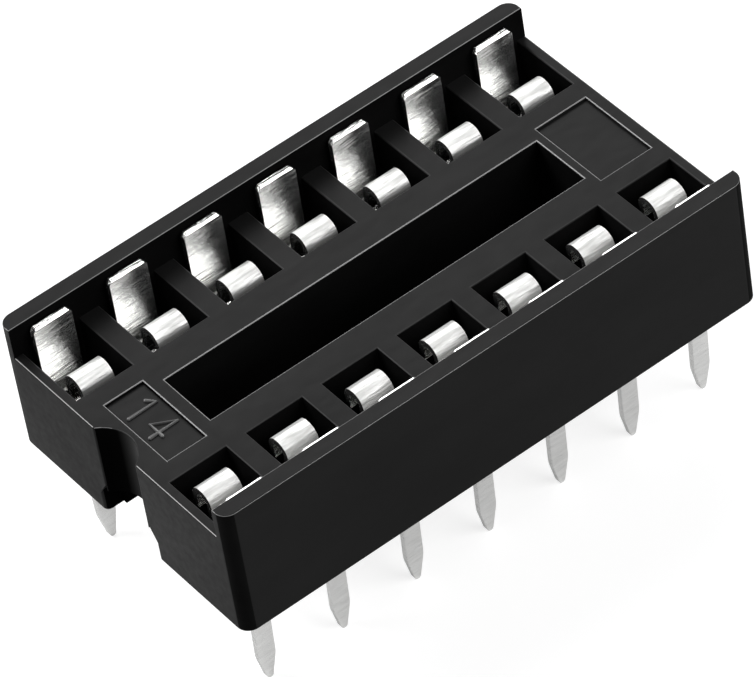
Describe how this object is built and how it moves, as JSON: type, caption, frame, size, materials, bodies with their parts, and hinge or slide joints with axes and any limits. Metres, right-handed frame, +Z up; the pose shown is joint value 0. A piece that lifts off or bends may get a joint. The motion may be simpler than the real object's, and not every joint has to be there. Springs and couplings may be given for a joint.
{
  "type": "ic socket",
  "caption": "Dual-in-line IC socket: a moulded housing with side walls, an open window and a notch holds two rows of leaf contacts whose tails go into a circuit board.",
  "frame": {"origin": "centre of the footprint, level with the tips of the tails", "axes": "+X along the rows, away from the notched end; +Y across the rows; +Z up, out of the deck"},
  "size_m": [0.0176, 0.0102, 0.0082],
  "materials": {
    "housing": "black glass-filled plastic, fine matt",
    "contact": "tin-plated, rolled strip with a soft sheen"
  },
  "bodies": {
    "root": {"housing": "housing", "contact_01": "contact", "contact_02": "contact", "contact_03": "contact", "contact_04": "contact", "contact_05": "contact", "contact_06": "contact", "contact_07": "contact", "contact_08": "contact", "contact_09": "contact", "contact_10": "contact", "contact_11": "contact", "contact_12": "contact", "contact_13": "contact", "contact_14": "contact"}
  },
  "joints": []
}
